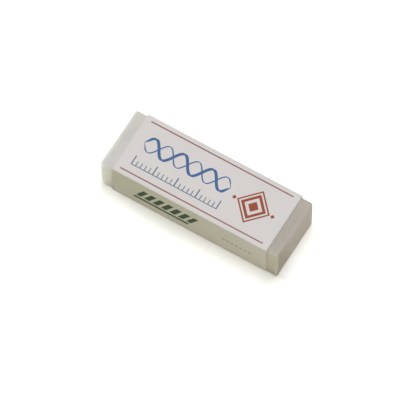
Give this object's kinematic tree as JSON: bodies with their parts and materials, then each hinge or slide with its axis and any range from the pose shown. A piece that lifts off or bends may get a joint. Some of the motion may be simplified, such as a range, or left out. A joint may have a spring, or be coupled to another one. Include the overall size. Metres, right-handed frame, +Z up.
{
  "type": "vinyl eraser",
  "caption": "Flat rectangular vinyl eraser block in a folded, open-ended card sleeve that slides along it.",
  "frame": {"origin": "on the surface that the sleeve lies on, under the middle of the sleeve", "axes": "+X along the block, +Y towards the rear long side with the glue lap, +Z up through the broad face"},
  "size_m": [0.065, 0.0228, 0.014],
  "materials": {
    "vinyl": "matte",
    "card": "matte"
  },
  "bodies": {
    "block": {"vinyl_block": "vinyl"},
    "sleeve": {"card_sleeve": "card"}
  },
  "joints": [
    {"name": "sleeve_slide", "type": "slide", "parent": "block", "child": "sleeve", "axis": [1, 0, 0], "range_m": [-0.065, 0.065]}
  ]
}
